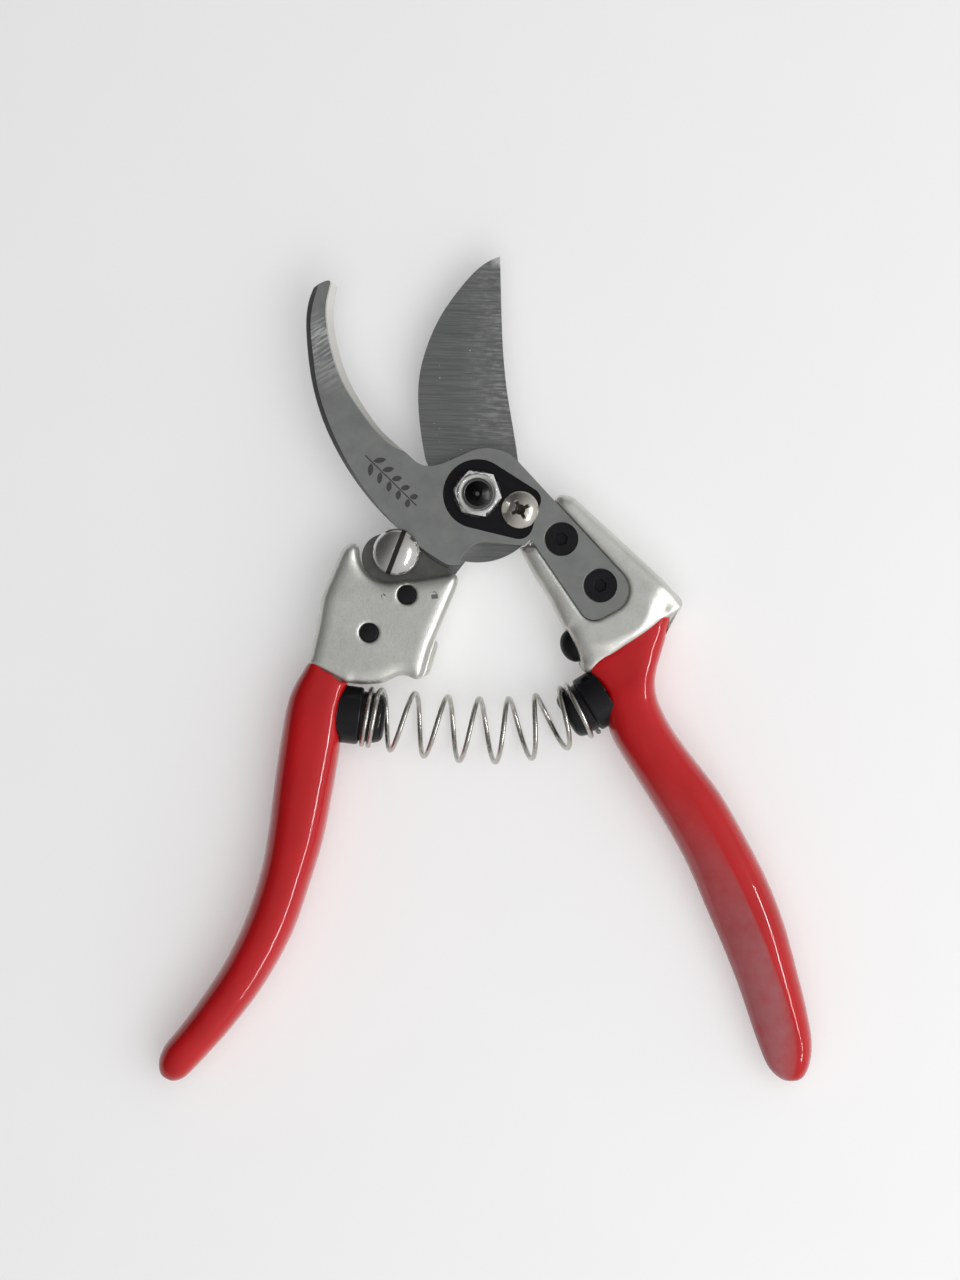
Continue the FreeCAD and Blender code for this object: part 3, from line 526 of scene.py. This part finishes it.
def trim_copy(node, width):
    """A copy of a hard part, smooth where round and with its sharp edges broken. It stands for the node."""
    piece = bpy.data.objects.new(node + "_trim", frame["nodes"][node].data.copy())
    bpy.context.collection.objects.link(piece)
    mesh = bmesh.new()
    mesh.from_mesh(piece.data)
    bmesh.ops.remove_doubles(mesh, verts=mesh.verts, dist=0.001 * MM)
    bmesh.ops.dissolve_limit(mesh, angle_limit=math.radians(1), verts=mesh.verts, edges=mesh.edges)
    mesh.to_mesh(piece.data)
    mesh.free()
    piece.data.shade_smooth()
    piece.data.set_sharp_from_angle(angle=math.radians(32))
    if width:
        bevel = piece.modifiers.new("bevel", "BEVEL")
        bevel.width = width
        bevel.segments = 2
        bevel.limit_method = "ANGLE"
        bevel.angle_limit = math.radians(32)
        bevel.harden_normals = True
    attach(piece, BODY_OF[node])
    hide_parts(node)
    return piece


def coil():
    """A smooth-shaded copy of the spring, left in the world frame."""
    piece = bpy.data.objects.new("spring_coil", frame["nodes"]["spring"].data.copy())
    bpy.context.collection.objects.link(piece)
    piece.data.shade_smooth()
    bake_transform(piece)
    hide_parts("spring")
    return piece


def paint(piece, material):
    piece.data.materials.clear()
    piece.data.materials.append(material)


def dress():
    aluminium = cast_aluminium()
    chrome = plated("chrome", (0.56, 0.55, 0.53), (0.72, 0.71, 0.69), 0.1,
                    [(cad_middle("thumb_knob"), 69, 0.5 * MM, 6 * MM)])
    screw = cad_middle("lock_plate_screw")
    nickel = plated("nickel", (0.5, 0.47, 0.42), (0.66, 0.63, 0.57), 0.14,
                    [(screw, 25, 0.36 * MM, 1.9 * MM), (screw, 115, 0.36 * MM, 1.9 * MM)])
    wire = plated("spring_wire", (0.38, 0.37, 0.34), (0.58, 0.57, 0.53), 0.2)
    zinc = plated("zinc", (0.45, 0.45, 0.44), (0.6, 0.6, 0.59), 0.25)
    lever = plated("lever_steel", (0.1, 0.1, 0.097), (0.2, 0.2, 0.193), 0.3)
    oxide, plate = black("black_oxide", 0.22, 0.15), black("lock_plate_black", 0.3, 0.08)
    gloss, rubber = black("seat_plastic", 0.25, 0.05, 0.3), black("bumper_rubber", 0.3, 0.1)
    # painted shade: the nut dark on its lower sides, the bolt dark in its cup at the top
    nut = shaded_by_height("nut_chrome", (0.06, 0.06, 0.065), (0.72, 0.72, 0.71), 14.1 * MM, 0.1)
    bolt = shaded_by_height("bolt_steel", (0.7, 0.7, 0.69), (0.13, 0.13, 0.13), 13.4 * MM, 0.1)
    blade_casting = soft_copy("blade_handle", "blade_casting", *CASTING_REMESH, shape_blade_casting)
    paint(blade_casting, aluminium)
    paint(soft_copy("counter_handle", "counter_casting", *CASTING_REMESH, shape_counter_casting), aluminium)
    paint(soft_copy("blade_grip", "blade_sleeve", *SLEEVE_REMESH, shape_blade_grip), red_vinyl("red_vinyl"))
    counter_sleeve = soft_copy("counter_grip", "counter_sleeve", *SLEEVE_REMESH, shape_counter_grip)
    paint(counter_sleeve, red_vinyl("red_vinyl_painted_reflection", True))
    mark("catch_marks", [arrow((-18.4, -21.3), (-22.9, -21.5)), arrow((-11.9, -20.3), (-7.4, -20.0)),
                         *padlock((-20.5, -23.7), 0.1, 0.9), *padlock((-9.4, -22.5), 0.1, 0.0)],
         blade_casting, "cutting_side", mark_grey())
    paint(coil(), wire)
    for node, material, width in (
        ("bumper", rubber, 0),
        ("counter_spring_seat", gloss, 0.25 * MM), ("blade_spring_seat", gloss, 0.25 * MM),
        ("pivot_bolt", bolt, 0.1 * MM), ("pivot_washer", zinc, 0.08 * MM), ("pivot_nut", nut, 0.15 * MM),
        ("nut_lock_plate", plate, 0.1 * MM), ("lock_plate_screw", nickel, 0.1 * MM),
        ("latch_pin", oxide, 0.08 * MM), ("blade_rivet", oxide, 0.08 * MM),
        ("counter_blade_screws", oxide, 0.12 * MM), ("latch_spring_washer", zinc, 0),
        ("latch_lever", lever, 0.12 * MM), ("thumb_knob", chrome, 0.08 * MM),
    ):
        paint(trim_copy(node, width), material)
    for node, material in (("counter_blade", counter_steel()), ("cutting_blade", blade_steel())):
        for slot in frame["nodes"][node].material_slots:
            slot.material = material


# ---- floor, light and camera ----
def floor():
    half = 2.0
    mesh = bpy.data.meshes.new("floor")
    corners = [(x, y, -0.1 * MM) for x, y in ((-half, -half), (half, -half), (half, half), (-half, half))]
    mesh.from_pydata(corners, [], [(0, 1, 2, 3)])
    piece = bpy.data.objects.new("floor", mesh)
    bpy.context.collection.objects.link(piece)
    look = Look("floor_paper")
    look.colour(look.mix(look.noise(30), (0.78, 0.78, 0.78), (0.8, 0.8, 0.8)))
    look.set(Roughness=0.8, Specular_IOR_Level=0.2)
    paint(piece, look.material)


def softbox(name, place, size, power, glossy=True, shadow=True, target=(0, -0.03, 0)):
    """An area light. One that isn't glossy lights the surfaces but doesn't show in them."""
    lamp = bpy.data.lights.new(name, "AREA")
    lamp.shape = "RECTANGLE"
    lamp.size, lamp.size_y = size
    lamp.energy = power
    lamp.use_shadow = shadow
    piece = bpy.data.objects.new(name, lamp)
    piece.location = place
    piece.rotation_euler = (Vector(target) - Vector(place)).to_track_quat("-Z", "Y").to_euler()
    piece.visible_glossy = glossy
    bpy.context.collection.objects.link(piece)


def light():
    """A pale studio, brighter to the right and dim to the left, with a thin strip for crisp highlights."""
    world = bpy.data.worlds.new("studio")
    bpy.context.scene.world = world
    world.use_nodes = True
    nodes, links = world.node_tree.nodes, world.node_tree.links
    place = nodes.new("ShaderNodeTexCoord").outputs["Generated"]
    along = nodes.new("ShaderNodeVectorMath")
    along.operation = "DOT_PRODUCT"
    along.inputs[1].default_value = (0.8, -0.5, 0.15)
    links.new(place, along.inputs[0])
    ramp = nodes.new("ShaderNodeMapRange")
    ramp.interpolation_type = "SMOOTHSTEP"
    for name, number in (("From Min", -0.8), ("From Max", 0.9), ("To Min", 0.1), ("To Max", 0.74)):
        ramp.inputs[name].default_value = number
    links.new(along.outputs["Value"], ramp.inputs["Value"])
    links.new(ramp.outputs["Result"], nodes["Background"].inputs["Strength"])
    nodes["Background"].inputs["Color"].default_value = (1, 1, 1, 1)
    softbox("strip", (0.72, -0.335, 0.62), (1.05, 0.016), 5.5, shadow=False, target=(-0.03, -0.165, 0))
    softbox("overhead", (0.3, -0.3, 1.6), (1.8, 1.8), 12.5, glossy=False)


def camera():
    lens = bpy.data.cameras.new("camera")
    lens.sensor_width = SENSOR * 1000
    lens.lens = SENSOR * 1000 * (CAMERA_HEIGHT - FRAME_CENTRE[2]) / FRAME_HEIGHT
    lens.clip_start, lens.clip_end = 0.01, 10
    piece = bpy.data.objects.new("camera", lens)
    piece.location = (FRAME_CENTRE[0], FRAME_CENTRE[1], CAMERA_HEIGHT)
    bpy.context.collection.objects.link(piece)
    bpy.context.scene.camera = piece


bpy.context.scene.view_settings.view_transform = "Standard"
dress()
floor()
light()
camera()
